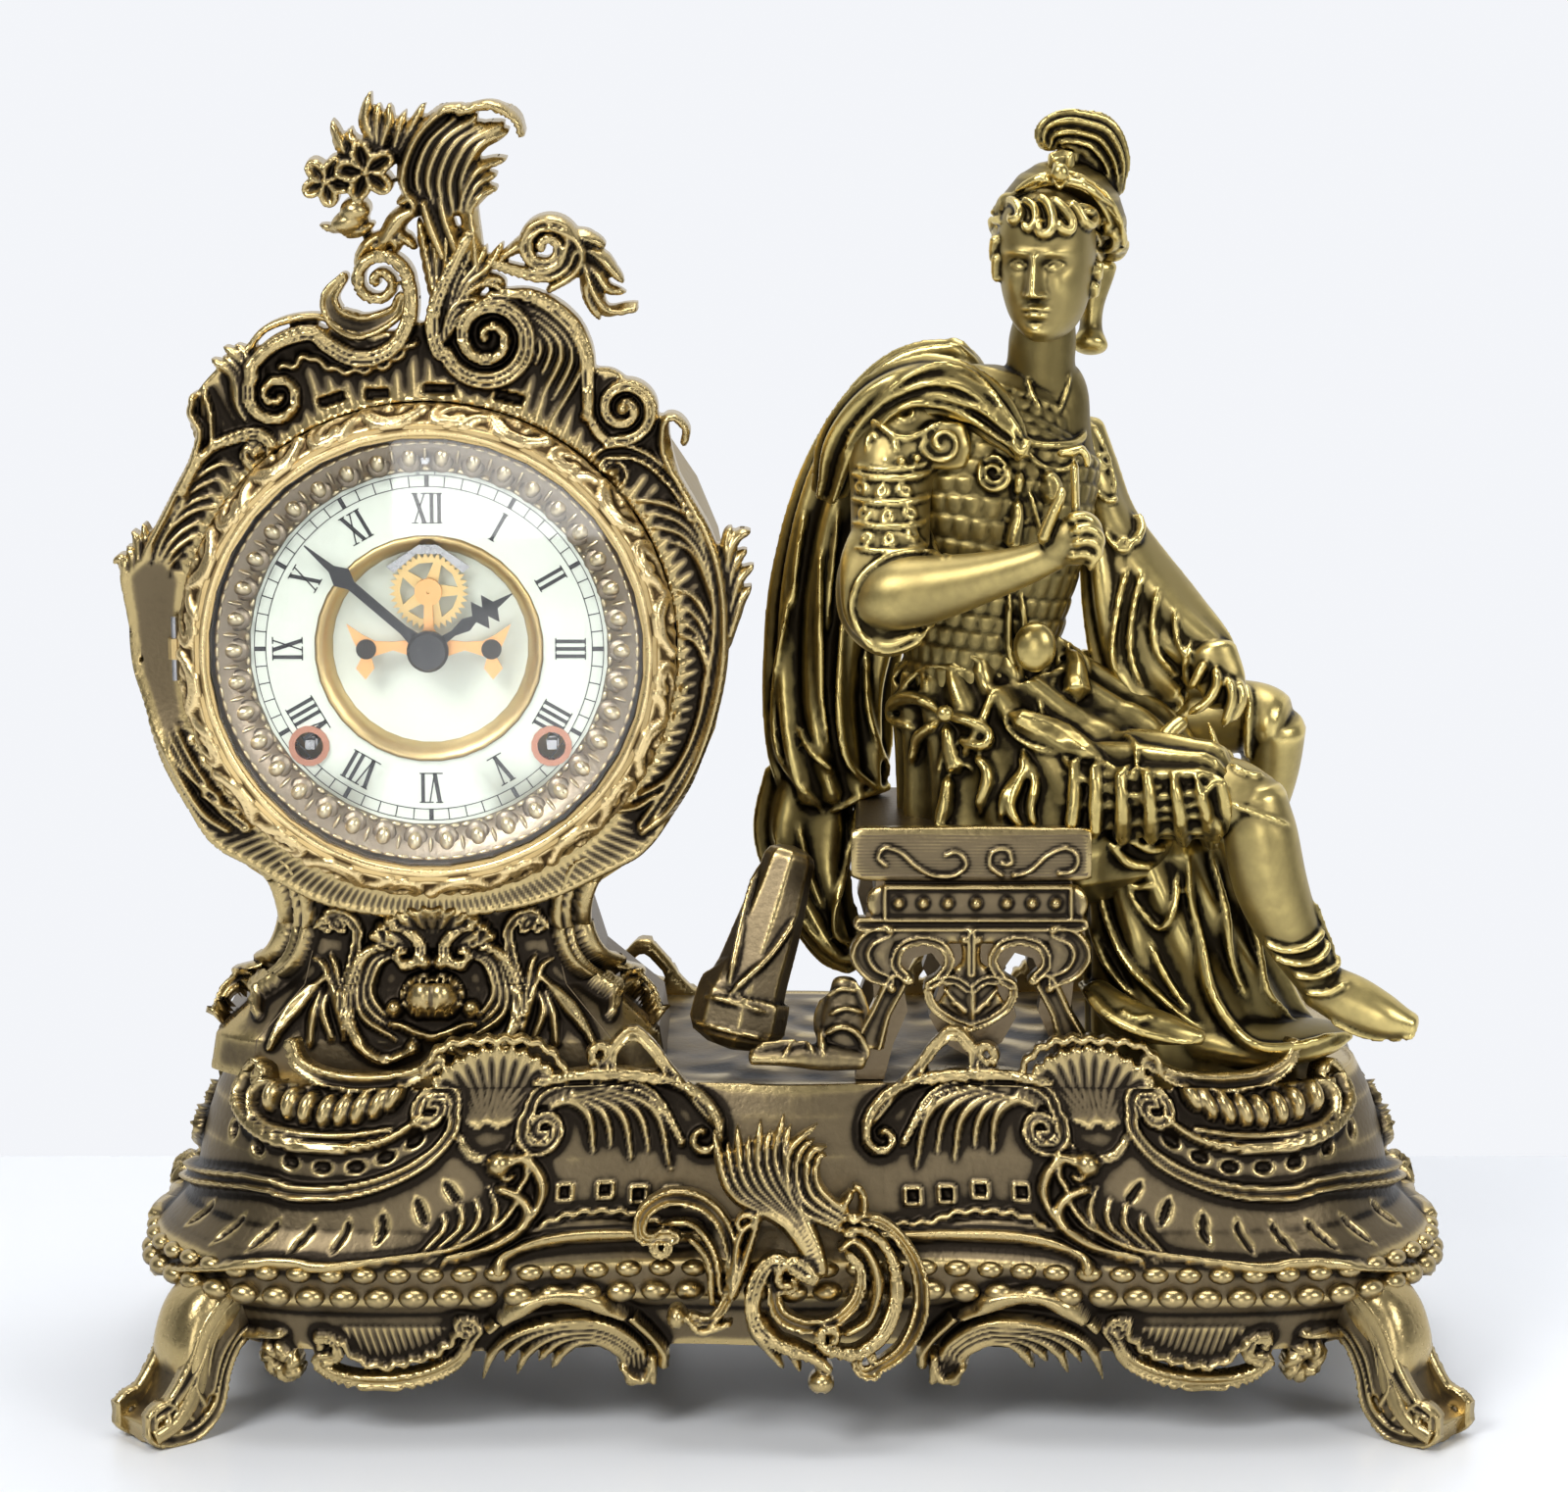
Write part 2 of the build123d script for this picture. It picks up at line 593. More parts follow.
def teeth_points(teeth, module, phase, height_share):
    """Outline of a toothed wheel, a gap and a pointed tip to each tooth."""
    pitch_radius = module * teeth / 2
    pitch = 360 / teeth
    points = []
    for tooth in range(teeth):
        middle = phase + tooth * pitch
        points.append(polar(pitch_radius - module, middle - pitch / 2))
        points.append(polar(pitch_radius + module * height_share, middle))
    return points


def wheel(teeth, module, phase, place, y_back, thickness):
    """Wheel with crossings, cut from sheet."""
    slab(teeth_points(teeth, module, phase, tip_share), y_back, y_back - thickness, *place)
    rim = module * teeth / 2 * 0.82
    hub = max(module * teeth / 2 * 0.3, 2 * arbor_radius)
    for spoke in range(4):
        points = [polar(rim, 90 * spoke + 12), polar(rim, 90 * spoke + 45), polar(rim, 90 * spoke + 78),
                  polar(hub, 90 * spoke + 45)]
        slab(points, y_back + overrun, y_back - thickness - overrun, *place, mode=Mode.SUBTRACT)


def pinion(leaves, module, phase, place, y_back, length):
    """Small pinion of thin leaves."""
    slab(teeth_points(leaves, module, phase, leaf_share), y_back, y_back - length, *place)


def arbor(place, radius=arbor_radius):
    """Arbor between the plates with a pivot in each."""
    rod(back_plate_y - gap, front_back + gap, radius, *place)
    rod(back_plate_y + plate_thickness + gap, front_plate_y - gap, pivot_radius, *place)


centre = (0, 0)
great = (winding_u, winding_w)
strike_great = (-winding_u, winding_w)
second = meeting(centre, centres(second_teeth, leaf_count, great_module),
                 great, centres(great_teeth, leaf_count, great_module), 1)
escape = (0, escape_w)
third = meeting(centre, centres(centre_teeth, third_pinion, centre_module),
                escape, centres(third_teeth, escape_pinion, third_module), 1)
minute = (0, -centres(minute_teeth, leaf_count, minute_module))
pallet = (0, pallet_w)
strike_reach = centres(great_teeth, leaf_count, great_module)
pin_wheel_place = (strike_great[0] + polar(strike_reach, 80)[0], strike_great[1] + polar(strike_reach,
                                                                                         80)[1])
fly_reach = centres(pin_teeth, fly_pinion, pin_module)
fly_place = (pin_wheel_place[0] + polar(fly_reach, 100)[0], pin_wheel_place[1] + polar(fly_reach, 100)[1])
hammer_u = -8
hammer_w = -38
hammer_place = (hammer_u, hammer_w)

# Depth of each layer, its rear face
great_layer = -13.5
centre_layer = -7.8
third_layer = 1.2
second_layer = 10.5
minute_layer = -22.6
hour_layer = -26.7
escape_layer = -49.3
wheel_thickness = 1.2
great_thickness = 2
pinion_spare = 0.6      # a pinion is this much longer than its wheel at each end


window_shares = [(0.22, 0.25, 0.78, 0.594), (-0.78, 0.406, -0.375, 0.625)]
plate_outline = [                        # with a tongue at the top for the fast and slow arbor
    (-plate_half, plate_bottom), (plate_half, plate_bottom), (plate_half, plate_top), (plate_corner,
                                                                                       plate_top),
    (plate_corner / 2, regulator_w + plate_corner / 2), (-plate_corner / 2, regulator_w + plate_corner / 2),
    (-plate_corner, plate_top), (-plate_half, plate_top),
]


def plate(y, loose, tight):
    """One plate: outline, crossings, pivot holes, and wider holes where arbors pass through."""
    slab(plate_outline, y + plate_thickness, y)
    for left, low, right, high in window_shares:
        slab(scaled([(left, low), (right, low), (right, high), (left, high)], plate_half),
             y + overrun, y - overrun, mode=Mode.SUBTRACT)
    for place, radius in tight:
        rod(y + overrun, y - overrun, bore(radius + run), *place, mode=Mode.SUBTRACT)
    for place, radius in loose:
        rod(y + overrun, y - overrun, radius + 2 * gap, *place, mode=Mode.SUBTRACT)


shared_pivots = [(second, pivot_radius), (third, pivot_radius), (pin_wheel_place, pivot_radius),
                 (fly_place, pivot_radius), (hammer_place, arbor_radius)]

with BuildPart() as back_plate:
    plate(back_plate_y, [], shared_pivots + [
        (centre, pivot_radius), (great, arbor_radius), (strike_great, arbor_radius), (escape, escape_pivot),
        (pallet, pivot_radius)])
keep(back_plate, "back_plate")

arm_width = 8
arm_length = 36
post_front = centre_face - 6
post_thread = 1         # radius of the screw holes in the two posts
minute_stud = 1
stud_end = 3
with BuildPart() as front_plate:
    plate(front_plate_y, [(escape, arbor_radius)], shared_pivots + [
        (centre, centre_arbor_radius), (great, winding_arbor_radius), (strike_great, winding_arbor_radius),
        (pallet, arbor_radius), ((0, regulator_w), regulator_radius)])
    for angle in mount_angles:
        u, w = polar(mount_radius, angle)
        inner_u, inner_w = polar(mount_radius - arm_length, angle)
        rise, run_over = polar(arm_width / 2, angle)
        slab([(u + run_over, w - rise), (u - run_over, w + rise), (inner_u - run_over, inner_w + rise),
              (inner_u + run_over, inner_w - rise)], front_back, front_plate_y)
        rod(front_back, case_front_back, mount_boss, u, w)
        rod(front_back + overrun, case_front_back - overrun, screw_radius, u, w, mode=Mode.SUBTRACT)
    for place in (great, strike_great):
        rod(front_back + overrun, front_plate_y - overrun, bore(winding_arbor_radius + run), *place,
            mode=Mode.SUBTRACT)
    rod(front_plate_y, minute_layer - stud_end, minute_stud, *minute)
    for side in (-1, 1):
        rod(front_plate_y, post_front, post_radius, side * post_u)
        rod((front_plate_y + post_front) / 2, post_front - lap, post_thread, side * post_u,
            mode=Mode.SUBTRACT)
keep(front_plate, "front_plate")

with BuildPart() as pillars:
    for place in scaled(pillar_shares, plate_half):
        rod(back_plate_y, front_back, pillar_radius, *place)
keep(pillars, "plate_pillars")

# Time train, from the winding arbor to the escape wheel
phases = {}
phases["centre"] = 0
phases["centre_pinion"] = 0
phases["second"] = follow(0, leaf_count, second_teeth, bearing(centre, second))
phases["second_pinion"] = 0
phases["great"] = follow(0, leaf_count, great_teeth, bearing(second, great))
phases["third_pinion"] = follow(0, centre_teeth, third_pinion, bearing(centre, third))
phases["third"] = 0
phases["escape_pinion"] = follow(0, third_teeth, escape_pinion, bearing(third, escape))
phases["minute"] = follow(0, leaf_count, minute_teeth, bearing(centre, minute))
phases["minute_pinion"] = 0
phases["hour"] = follow(0, leaf_count, hour_teeth, bearing(minute, centre))
phases["strike_pinion"] = follow(0, great_teeth, leaf_count, bearing(strike_great, pin_wheel_place))
phases["fly_pinion"] = follow(0, pin_teeth, fly_pinion, bearing(pin_wheel_place, fly_place))

ratchet_teeth = 10
ratchet_radius = 8
ratchet_depth = 1.5
ratchet_layer = -11.5
ratchet_thickness = 1.4
hub_radius = 6
hub_back = 10
key_square = 3.2
key_length = 6


def winding_arbor(place):
    """Winding arbor with its hub, ratchet and key square."""
    with BuildPart() as piece:
        rod(back_plate_y + plate_thickness + gap, back_plate_y - gap - lap, arbor_radius, *place)
        rod(back_plate_y - gap, centre_face, winding_arbor_radius, *place)
        rod(hub_back, ratchet_layer, hub_radius, *place)
        with BuildSketch(dial_plane(centre_face + lap, *place)):
            Rectangle(key_square, key_square)
        extrude(amount=key_length)
        points = []
        for tooth in range(ratchet_teeth):
            points.append(polar(ratchet_radius, tooth * 360 / ratchet_teeth))
            points.append(polar(ratchet_radius - ratchet_depth, (tooth + 0.15) * 360 / ratchet_teeth))
        slab(points, ratchet_layer, ratchet_layer - ratchet_thickness, *place)
    return piece


def great_wheel(place, phase):
    """Great wheel, free on its winding arbor."""
    with BuildPart() as piece:
        wheel(great_teeth, great_module, phase, place, great_layer, great_thickness)
        rod(great_layer + overrun, great_layer - overrun, bore(winding_arbor_radius + run), *place,
            mode=Mode.SUBTRACT)
    return piece


spring_turns = 3
spring_steps = 9       # straight lengths to a turn
spring_inner = hub_radius + gap
spring_outer = 24
spring_strip = 0.8
spring_back = 9
spring_front = -10


def spring_outline(place, side):
    """Open spiral spring whose outer end lies against the lower pillar."""
    pillar_u, pillar_w = scaled(pillar_shares, plate_half)[-1]
    anchor = bearing(place, (side * pillar_u, pillar_w))
    reach = math.hypot(place[0] - side * pillar_u, place[1] - pillar_w) - pillar_radius - gap
    inside, outside = [], []
    steps = spring_turns * spring_steps
    for step in range(steps + 1):
        angle = anchor - side * (steps - step) * 360 / spring_steps
        radius = spring_inner + (spring_outer - spring_inner) * step / steps
        if step == steps:
            radius = reach - spring_strip
        inside.append(polar(radius, angle))
        outside.append(polar(radius + spring_strip, angle))
    return inside + outside[::-1]


with BuildPart() as mainsprings:
    for place, side in ((great, 1), (strike_great, -1)):
        slab(spring_outline(place, side), spring_back, spring_front, *place)
keep(mainsprings, "mainsprings")

keep(winding_arbor(great), "time_winding_arbor")
keep(winding_arbor(strike_great), "strike_winding_arbor")
keep(great_wheel(great, phases["great"]), "time_great_wheel")
keep(great_wheel(strike_great, 0), "strike_great_wheel")

with BuildPart() as intermediate:
    arbor(second)
    pinion(leaf_count, great_module, phases["second_pinion"], second, great_layer + pinion_spare,
           great_thickness + 2 * pinion_spare)
    wheel(second_teeth, great_module, phases["second"], second, second_layer, wheel_thickness)
keep(intermediate, "intermediate_wheel")

minute_reach = 54
hour_reach = 34
hand_hub = 5
hour_hub = 4.2
hour_hand_y = -54.6
minute_hand_y = -56.4
hand_thickness = 0.8
boss_radius = 7
boss_front = -59
boss_round = 1
with BuildPart() as minute_arbor:
    rod(back_plate_y - gap, boss_front + lap, centre_arbor_radius)
    rod(back_plate_y + plate_thickness + gap, back_plate_y - gap, pivot_radius)
    pinion(leaf_count, great_module, phases["centre_pinion"], centre, second_layer + pinion_spare,
           wheel_thickness + 2 * pinion_spare)
    wheel(centre_teeth, centre_module, phases["centre"], centre, centre_layer, wheel_thickness)
    pinion(leaf_count, minute_module, 0, centre, minute_layer + pinion_spare,
           wheel_thickness + 2 * pinion_spare)
keep(minute_arbor, "minute_arbor")

with BuildPart() as third_wheel:
    arbor(third)
    pinion(third_pinion, centre_module, phases["third_pinion"], third, centre_layer + pinion_spare,
           wheel_thickness + 2 * pinion_spare)
    wheel(third_teeth, third_module, phases["third"], third, third_layer, wheel_thickness)
keep(third_wheel, "third_wheel")

escape_teeth = 36
escape_radius = 13.3
escape_root = 11.2
escape_rim = 9.8
escape_shoulder = 1.6
escape_end = 3
escape_pitch = 360 / escape_teeth
pallet_angle = 57.5     # from the vertical, eleven and a half teeth between the two pallets
pallet_pin = 0.35
pallet_clear = 0.06
escape_phase = 90 - pallet_angle - escape_pitch * 0.75
with BuildPart() as escape_wheel:
    rod(back_plate_y - gap, escape_layer - escape_shoulder, escape_arbor, *escape)
    rod(back_plate_y + plate_thickness + gap, escape_layer - escape_end, escape_pivot, *escape)
    pinion(escape_pinion, third_module, phases["escape_pinion"], escape, third_layer + pinion_spare,
           wheel_thickness + 2 * pinion_spare)
    points = []
    for tooth in range(escape_teeth):
        middle = escape_phase + tooth * escape_pitch
        points.append(polar(escape_root, middle - escape_pitch / 2))
        points.append(polar(escape_radius, middle))
    slab(points, escape_layer, escape_layer - hand_thickness, *escape)
    for spoke in range(5):
        crossing = [polar(escape_rim, 72 * spoke + 8), polar(escape_rim, 72 * spoke + 36),
                    polar(escape_rim, 72 * spoke + 64), polar(escape_rim * 0.38, 72 * spoke + 36)]
        slab(crossing, escape_layer + lap, escape_layer - 2 * lap, *escape, mode=Mode.SUBTRACT)
keep(escape_wheel, "escape_wheel")

# Pallets: arbor over the wheel, two arms with round stones, and the crutch behind the back plate
crutch_y = 18
crutch_thickness = 1.5
crutch_half = 1.2
crutch_length = 24
fork_depth = 3
fork_play = 0.25
rod_half = 0.9
rod_back = 25
rod_front = 22
fork_half = rod_half + fork_play
pin_reach = escape_radius + pallet_pin + pallet_clear
pin_u = pin_reach * math.sin(math.radians(pallet_angle))
pin_w = escape_w + pin_reach * math.cos(math.radians(pallet_angle)) - pallet_w
pallet_thickness = 1
pallet_play = 0.4
pallet_size = 10
pallet_root_shares = [(-0.4, -0.16), (0.4, -0.16)]
pallet_crown_shares = [(0.3, 0.15), (-0.3, 0.15)]
pallet_horn = 2.5
pallet_rise = 3.4
arm_back = escape_layer - hand_thickness - pallet_play
with BuildPart() as pallets:
    rod(crutch_y + crutch_thickness, back_plate_y - gap, pivot_radius, *pallet)
    rod(back_plate_y - gap, arm_back - 2 * pallet_thickness, pallet_arbor, *pallet)
    tip_w = pin_w + pallet_thickness
    slab([(-pin_u - pallet_horn, tip_w), (-pin_u, pin_w - pallet_thickness),
          *scaled(pallet_root_shares, pallet_size), (pin_u, pin_w - pallet_thickness),
          (pin_u + pallet_horn, tip_w),
          (pin_u - pallet_thickness, pin_w + pallet_rise), *scaled(pallet_crown_shares, pallet_size),
          (pallet_thickness - pin_u, pin_w + pallet_rise)], arm_back, arm_back - pallet_thickness, *pallet)
    for side in (-1, 1):
        rod(escape_layer + pallet_play, arm_back - pallet_thickness / 2, pallet_pin, side * pin_u,
            pallet_w + pin_w)
    slab([(-crutch_half, crutch_half), (-crutch_half, -crutch_length), (crutch_half, -crutch_length),
          (crutch_half, crutch_half)], crutch_y + crutch_thickness, crutch_y, *pallet)
    fork_outer = fork_half + pallet_thickness
    slab([(-fork_outer, -crutch_length + lap), (-fork_outer, -crutch_length - fork_depth),
          (fork_outer, -crutch_length - fork_depth), (fork_outer, -crutch_length + lap)],
         crutch_y + crutch_thickness, crutch_y, *pallet)
    for side in (-1, 1):
        near, far = side * fork_half, side * fork_outer
        slab([(near, -crutch_length), (near, -crutch_length - fork_depth + lap),
              (far, -crutch_length - fork_depth + lap), (far, -crutch_length)],
             rod_back + lap / 2, crutch_y, *pallet)
keep(pallets, "pallets_and_crutch")

pendulum_length = 147
bob_radius = 15
bob_half = 3.5
eye_radius = 3
stud_radius = 1.2
rod_top = 2
rod_tail = 8
rod_inset = 0.7
nut_radius = 2.5
with BuildPart() as pendulum:
    rod(rod_back, rod_front, eye_radius, *pallet)
    rod_end = -pendulum_length - bob_radius - rod_tail
    slab([(-rod_half, -rod_top), (-rod_half, rod_end), (rod_half, rod_end), (rod_half, -rod_top)],
         rod_back - rod_inset, rod_front + rod_inset, *pallet)
    rod(rod_back + overrun, rod_front - overrun, bore(stud_radius + run), *pallet, mode=Mode.SUBTRACT)
    bob_y = (rod_back + rod_front) / 2
    bob_w = pallet_w - pendulum_length
    rod(bob_y + bob_half, bob_y - bob_half, 0.6 * bob_radius, 0, bob_w, sides=2 * bar_sides)
    rod(bob_y + bob_half / 2, bob_y - bob_half / 2, bob_radius, 0, bob_w, sides=2 * bar_sides)
    upright(clock_x, bob_y, clock_height + pallet_w - pendulum_length - bob_radius - nut_radius, nut_radius,
            nut_radius)
keep(pendulum, "pendulum")

cock_foot_u = 9
cock_bar_shares = [(-1.33, -0.44), (1.33, -0.44), (1.33, 0.89), (-1.33, 0.89)]
cock_foot_radius = 2
cock_foot_w = 5
cock_bar_front = rod_back + lap
cock_bar_back = cock_bar_front + sheet
with BuildPart() as pendulum_cock:
    slab(scaled(cock_bar_shares, cock_foot_u), cock_bar_back, cock_bar_front, *pallet)
    rod(cock_bar_back - lap, rod_front - lap, stud_radius, *pallet)
    for side in (-1, 1):
        rod(cock_bar_front, back_plate_y + plate_thickness, cock_foot_radius, side * cock_foot_u,
            pallet_w + cock_foot_w)
keep(pendulum_cock, "pendulum_cock")

# Motion work behind the dial
minute_pipe = 1.7
with BuildPart() as minute_wheel:
    pinion(leaf_count, hour_module, phases["minute_pinion"], minute, hour_layer + pinion_spare,
           wheel_thickness + 2 * pinion_spare)
    rod(minute_layer, hour_layer - wheel_thickness, minute_pipe, *minute)
    wheel(minute_teeth, minute_module, phases["minute"], minute, minute_layer, wheel_thickness)
    rod(minute_layer + overrun, hour_layer - overrun, bore(minute_stud + run), *minute, mode=Mode.SUBTRACT)
keep(minute_wheel, "minute_wheel")

with BuildPart() as hour_wheel:
    wheel(hour_teeth, hour_module, phases["hour"], centre, hour_layer, wheel_thickness)
    rod(hour_layer, hour_hand_y - hand_thickness, hour_pipe_outer)
    rod(hour_layer + overrun, hour_hand_y - overrun, bore(centre_arbor_radius + run), mode=Mode.SUBTRACT)
keep(hour_wheel, "hour_wheel")

# Hands, read clockwise from twelve
hour_angle = 90 - 56
minute_angle = 90 + 49
hand_shares = [(0.08, 0.05), (0.2, 0.03), (0.62, 0.03), (0.7, 0.07), (0.78, 0.025), (1.0, 0.004)]
ornament_shares = [(0.1, 0.05), (0.3, 0.03), (0.45, 0.07), (0.55, 0.035), (0.62, 0.16), (0.68, 0.05),
                   (0.74, 0.16), (0.8, 0.04), (1.0, 0.006)]


def hand(shares, reach, angle, y_back, hub, bore):
    """Pointed hand with swellings along its length."""
    upper = [(reach * along, reach * half) for along, half in shares]
    lower = [(u, -w) for u, w in reversed(upper)]
    turned_points = []
    for u, w in upper + lower:
        size, spin = math.hypot(u, w), math.degrees(math.atan2(w, u)) + angle
        turned_points.append(polar(size, spin))
    slab(turned_points, y_back, y_back - hand_thickness)
    rod(y_back, y_back - hand_thickness, hub)
    rod(y_back + overrun, y_back - overrun, bore, mode=Mode.SUBTRACT)


with BuildPart() as hour_hand:
    hand(ornament_shares, hour_reach, hour_angle, hour_hand_y, hour_hub, hour_pipe_outer)
keep(hour_hand, "hour_hand")

with BuildPart() as minute_hand:
    hand(hand_shares, minute_reach, minute_angle, minute_hand_y, hand_hub, centre_arbor_radius)
    turned([(centre_arbor_radius, minute_hand_y - hand_thickness / 2),
            (boss_radius, minute_hand_y - hand_thickness / 2), (boss_radius, boss_front),
            (boss_radius - boss_round, boss_front - boss_round), (0, boss_front - boss_round),
            (0, boss_front + lap), (centre_arbor_radius, boss_front + lap)], 3 * bar_sides)
keep(minute_hand, "minute_hand")

# Escapement cock with its disc, forked stem and two winged arms, on posts of the front plate
cock_back = post_front
cock_thickness = 1.1
cock_size = 10
cock_half_shares = [                     # right half, from the forked stem round to the underside
    (0.4, 0.32), (1.2, 0.24), (1.8, 0.26), (2.2, 0.46), (2.75, 0.84), (2.56, 0.34), (2.4, 0), (2.26, -0.28),
    (2.46, -0.66), (2.14, -1.04), (1.84, -0.66), (1.94, -0.28), (1.2, -0.04), (0.4, -0.32),
]
cock_stem_shares = [(-0.4, 0.32), (-0.16, 0.7), (-0.14, 1.6), (0.14, 1.6), (0.16, 0.7)]
cock_outline_shares = cock_stem_shares + cock_half_shares + [(-u, w) for u,
                                                             w in reversed(cock_half_shares[1:])]
cock_disc = 4.6
screw_head = 3.4
screw_head_height = 1
screw_length = 4
with BuildPart() as escapement_cock:
    slab(scaled(cock_outline_shares, cock_size), cock_back, cock_back - cock_thickness)
    rod(cock_back, cock_back - cock_thickness, cock_disc, *escape, sides=2 * bar_sides)
    rod(cock_back + overrun, cock_back - overrun, bore(escape_pivot + run), *escape, mode=Mode.SUBTRACT)
    rod(cock_back + overrun, cock_back - overrun, hour_pipe_outer + 2 * gap, mode=Mode.SUBTRACT)
    for side in (-1, 1):
        rod(cock_back + overrun, cock_back - overrun, post_thread, side * post_u, mode=Mode.SUBTRACT)
keep(escapement_cock, "escapement_cock")

with BuildPart() as screws:
    for angle in mount_angles:
        u, w = polar(mount_radius, angle)
        rod(front_back + 2 * screw_head_height, front_back, 2 * screw_radius, u, w)
        rod(front_back + lap, case_front_back - case_front_thickness / 2 + lap, screw_radius - run, u, w)
    cock_front = cock_back - cock_thickness
    for side in (-1, 1):
        rod(cock_front, cock_front - screw_head_height, screw_head, side * post_u, sides=2 * bar_sides)
        rod(cock_back + screw_length, cock_front - screw_head_height / 2, post_thread - run, side * post_u)
keep(screws, "movement_and_cock_screws")

regulator_back = -6
regulator_front = -56.5
with BuildPart() as regulator:
    rod(regulator_back, regulator_front, regulator_radius, 0, regulator_w)
    with BuildSketch(dial_plane(regulator_front + lap, 0, regulator_w)):
        Rectangle(1.4 * regulator_radius, 1.4 * regulator_radius)
    extrude(amount=2 * regulator_radius)
keep(regulator, "regulator_arbor")

# Strike train, hammer and coiled gong
lifting_pins = 8
pin_circle = 12.9
pin_radius = 0.5
pin_length = 2.4
with BuildPart() as pin_wheel:
    arbor(pin_wheel_place)
    pinion(leaf_count, great_module, phases["strike_pinion"], pin_wheel_place, great_layer + pinion_spare,
           great_thickness + 2 * pinion_spare)
    wheel(pin_teeth, pin_module, 0, pin_wheel_place, second_layer, wheel_thickness)
    for pin in range(lifting_pins):
        u, w = polar(pin_circle, 360 / lifting_pins * pin)
        rod(second_layer + pin_length, second_layer - lap / 2, pin_radius, pin_wheel_place[0] + u,
            pin_wheel_place[1] + w, sides=4)
keep(pin_wheel, "strike_pin_wheel")

vane_reach = 9
vane_half = 0.4
vane_back = -3
vane_front = -14
with BuildPart() as fly:
    arbor(fly_place)
    pinion(fly_pinion, pin_module, phases["fly_pinion"], fly_place, second_layer + pinion_spare,
           wheel_thickness + 2 * pinion_spare)
    slab([(-vane_reach, -vane_half), (vane_reach, -vane_half), (vane_reach, vane_half), (-vane_reach,
                                                                                         vane_half)],
         vane_back, vane_front, *fly_place)
keep(fly, "strike_fly")

gong_radius = 52
gong_wire = 3
gong_pitch = 7
gong_turns = 2.5
gong_steps = 14
first_turn_share = 0.7  # of a turn, before the coil closes in
block_half = 4
block_margin = 3
block_front = 31
gong_front = 33
gong_w = -5
head_radius = 4
head_stand = 0.8
head_bearing = 222
tail_stand = 0.5
hammer_half = 1
hammer_sheet = 1.2
hammer_arm_front = 30
head_back = 36
head_front = 29
head_u, head_w = polar(gong_radius + gong_wire / 2 + head_radius + head_stand, head_bearing)
head_place = (head_u, head_w + gong_w)
tail_u, tail_w = polar(pin_circle + pin_radius + tail_stand, bearing(pin_wheel_place, hammer_place))
tail_place = (pin_wheel_place[0] + tail_u, pin_wheel_place[1] + tail_w)
tail_front = second_layer + hammer_half


def bar_between(start, end, half, y_back, y_front):
    """Flat bar from one point to another."""
    angle = bearing(start, end)
    side_u, side_w = polar(half, angle + 90)
    slab([(start[0] + side_u, start[1] + side_w), (end[0] + side_u, end[1] + side_w),
          (end[0] - side_u, end[1] - side_w), (start[0] - side_u, start[1] - side_w)], y_back, y_front)


with BuildPart() as hammer:
    hammer_arm_back = hammer_arm_front + 2 * hammer_half
    rod(hammer_arm_back, front_plate_y - gap, arbor_radius, *hammer_place)
    bar_between(hammer_place, tail_place, hammer_half, tail_front + hammer_sheet, tail_front)
    bar_between(hammer_place, head_place, hammer_half, hammer_arm_back, hammer_arm_front)
    rod(head_back, head_front, head_radius, *head_place)
keep(hammer, "strike_hammer")

with BuildPart() as gong:
    inside, outside = [], []
    steps = int(gong_turns * gong_steps)
    for step in range(steps + 1):
        angle = step * 360 / gong_steps
        radius = gong_radius - gong_pitch * max(0, step / gong_steps - first_turn_share)
        inside.append(polar(radius - gong_wire / 2, angle))
        outside.append(polar(radius + gong_wire / 2, angle))
    slab(inside + outside[::-1], gong_front + gong_wire, gong_front, 0, gong_w)
    block_end = case_radius - sheet - block_margin
    slab([(gong_radius - lap, -block_half), (block_end, -block_half), (block_end, block_half),
          (gong_radius - lap, block_half)], case_back - sheet, block_front, 0, gong_w)
keep(gong, "coiled_gong")

# Crest: acanthus scrolls over the case, with a spray of flowers beside the tall leaf
crest_thickness = 8
crest_outline_shares = [                 # of the case radius
    (-0.34, 1.03), (-0.37, 1.19), (-0.3, 1.23), (-0.24, 1.16), (-0.21, 1.23), (-0.23, 1.29), (-0.16, 1.32),
    (-0.07, 1.29), (-0.04, 1.37), (-0.1, 1.46), (-0.08, 1.62), (-0.04, 1.73), (0.05, 1.8), (0.21, 1.81),
    (0.3, 1.77), (0.32, 1.7), (0.23, 1.7), (0.26, 1.62), (0.23, 1.5), (0.2, 1.45), (0.25, 1.36), (0.39,
                                                                                                  1.42),
    (0.5, 1.37), (0.58, 1.34), (0.65, 1.26), (0.71, 1.13), (0.66, 1.08), (0.58, 1.1), (0.53, 1.19), (0.44,
                                                                                                     1.18),
    (0.53, 1.05), (0.52, 0.97), (0.4, 0.93), (0.2, 0.92), (0, 0.94), (-0.2, 0.98),
]
with BuildPart() as crest_scrolls:
    slab(scaled(crest_outline_shares, case_radius), case_front_face, case_front_face - crest_thickness)
keep(crest_scrolls, "crest_scrolls")

